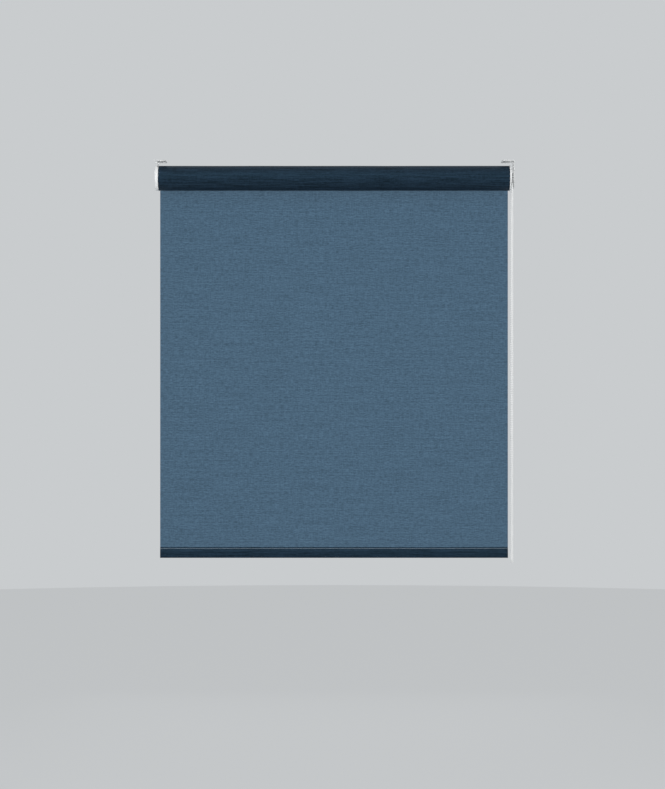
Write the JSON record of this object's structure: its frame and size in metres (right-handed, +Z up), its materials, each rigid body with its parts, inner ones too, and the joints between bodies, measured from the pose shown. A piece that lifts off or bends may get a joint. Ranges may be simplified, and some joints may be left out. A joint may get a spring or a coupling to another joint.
{
  "type": "dim-out roller blind",
  "caption": "Chain-worked dim-out roller blind: cloth wound on a tube between end brackets, with a weight bar in the pocket of its hem.",
  "frame": {"origin": "in the plane that the bracket feet are screwed to, halfway between the two ends of the blind, straight above the roll's axis", "axes": "+X along the roll towards the chain, +Z up, and the room in front is towards -Y"},
  "size_m": [0.964, 0.0713, 1.0761],
  "materials": {
    "bracket_paint": "white powder coat on folded steel, satin",
    "white_plastic": "moulded white ABS, satin",
    "chain_plastic": "white moulded beads, smooth",
    "dark_plastic": "dark grey acetal, matt",
    "spring_steel": "bright zinc-plated steel",
    "tube_aluminium": "mill-finish extruded aluminium",
    "navy_cloth": "dark blue slubbed plain weave, matt",
    "hanging_cloth": "dark blue slubbed plain weave with daylight behind it, matt"
  },
  "bodies": {
    "frame": {"control_bracket": "bracket_paint", "control_guard": "white_plastic", "control_core": "dark_plastic", "brake_spring_outer": "spring_steel", "brake_spring_inner": "spring_steel", "core_clip": "spring_steel", "idle_bracket": "bracket_paint", "idle_cover": "white_plastic", "idle_bush": "white_plastic", "fabric_panel": "hanging_cloth", "chain_on_wheel": "chain_plastic", "chain_front": "chain_plastic", "chain_back": "chain_plastic", "chain_bend_front": "chain_plastic", "chain_bend_back": "chain_plastic", "chain_connector": "chain_plastic"},
    "roller": {"roller_tube": "tube_aluminium", "fabric_roll": "navy_cloth", "drive_hub": "white_plastic", "chain_wheel": "white_plastic", "idle_plug": "white_plastic", "idle_pin_spring": "spring_steel"},
    "hem": {"hem_pocket": "navy_cloth", "bottom_bar": "spring_steel", "bar_cap_left": "dark_plastic", "bar_cap_right": "dark_plastic"},
    "pin": {"idle_pin": "spring_steel"}
  },
  "joints": [
    {"name": "roll_turn", "type": "hinge", "parent": "frame", "child": "roller", "pos_m": [0, 0, -0.0456], "axis": [1, 0, 0], "range_deg": [-1447, 1566]},
    {"name": "hem_lift", "type": "slide", "parent": "frame", "child": "hem", "axis": [0, 0, 1], "range_m": [-0.84, 0.909], "deforming": ["fabric_panel"]},
    {"name": "pin_press", "type": "slide", "parent": "roller", "child": "pin", "axis": [1, 0, 0], "range_m": [0, 0.004], "stiffness_N_per_m": 600, "springref_m": -0.006, "deforming": ["idle_pin_spring"]}
  ],
  "couplings": [
    {"joint": "hem_lift", "follows": "roll_turn", "m_per_rad": 0.03325}
  ]
}
